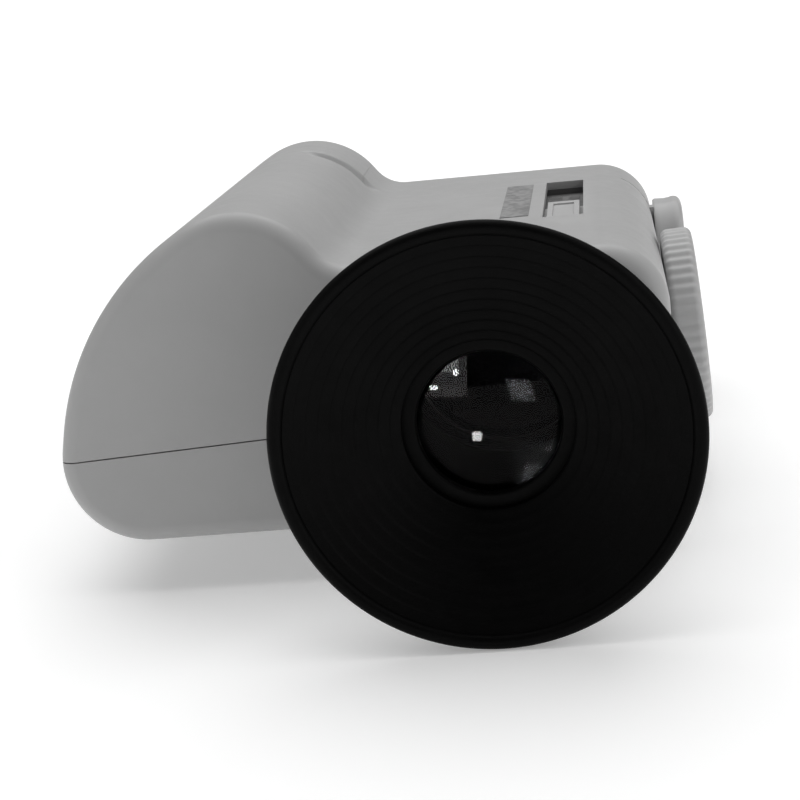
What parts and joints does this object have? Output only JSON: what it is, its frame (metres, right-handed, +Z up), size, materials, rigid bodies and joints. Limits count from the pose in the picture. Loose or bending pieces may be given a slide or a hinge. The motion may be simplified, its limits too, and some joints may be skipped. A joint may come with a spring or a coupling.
{
  "type": "slide viewer",
  "caption": "Hand-held lighted slide viewer with a large round eyecup, geared focusing wheel, side slide carrier, battery grip and sliding top switch.",
  "frame": {"origin": "on the flat underside, below the lens axis, halfway along the housing", "axes": "+X to the right as the user looks in, +Y along the lens axis away from the eye, +Z up"},
  "size_m": [0.141, 0.186, 0.084],
  "materials": {
    "shell": "satin moulded plastic",
    "grip": "satin moulded plastic",
    "cup": "soft matte rubber",
    "dark": "matte black plastic",
    "glass": "polished",
    "steel": "plain",
    "brass": "plain",
    "cell": "printed sleeve without lettering",
    "white": "matte white plastic",
    "board": "laminate",
    "plate": "printed grey patch without lettering",
    "slider": "satin moulded plastic",
    "lead_red": "insulated wire",
    "lead_black": "insulated wire"
  },
  "bodies": {
    "housing": {"upper_shell": "shell", "lower_shell": "shell", "case_screws": "steel", "legend_plate": "plate", "barrel_guide": "dark", "wheel_bearing": "dark", "shaft_bracket": "dark", "bracket_screws": "steel", "gate_frame": "dark", "gate_screws": "steel", "diffuser": "white", "lamp_socket": "dark", "socket_screw": "steel", "bulb_base": "brass", "bulb_glass": "glass", "reflector": "white", "lamp_contacts": "brass", "battery_tube": "dark", "cell_front": "cell", "cell_rear": "cell", "front_contact": "brass", "return_clip": "brass", "switch_board": "board", "switch_tracks": "brass", "board_screws": "steel", "lead_switch": "lead_red", "lead_lamp": "lead_red", "lead_return": "lead_black"},
    "eyepiece": {"eyepiece_barrel": "dark", "eyecup": "cup", "eye_lens": "glass", "lens_retainer": "dark", "field_lens": "glass", "field_retainer": "dark", "focus_rack": "dark"},
    "focus": {"focus_wheel": "grip", "focus_shaft": "steel", "focus_pinion": "brass", "shaft_clip": "steel"},
    "carrier": {"slide_carrier": "shell", "carrier_grip": "grip", "slide_springs": "steel"},
    "switch": {"switch_slider": "slider", "switch_wiper": "brass"},
    "battery_cap": {"battery_door": "shell", "door_contact": "brass", "battery_spring": "steel"}
  },
  "joints": [
    {"name": "eyepiece_slide", "type": "slide", "parent": "housing", "child": "eyepiece", "axis": [0, 1, 0], "range_m": [-0.0041, 0.0041]},
    {"name": "focus_turn", "type": "hinge", "parent": "housing", "child": "focus", "pos_m": [0.0422, -0.017, 0.0275], "axis": [0.9989, 0, 0.0462], "range_deg": [-50, 50]},
    {"name": "carrier_slide", "type": "slide", "parent": "housing", "child": "carrier", "axis": [1, 0, 0], "range_m": [0, 0.054]},
    {"name": "switch_slide", "type": "slide", "parent": "housing", "child": "switch", "axis": [0, 1, 0], "range_m": [0, 0.033]},
    {"name": "battery_door_slide", "type": "slide", "parent": "housing", "child": "battery_cap", "axis": [0, 1, 0], "range_m": [0, 0.025]}
  ],
  "couplings": [
    {"joint": "focus_turn", "follows": "eyepiece_slide", "rad_per_m": 208.33}
  ]
}
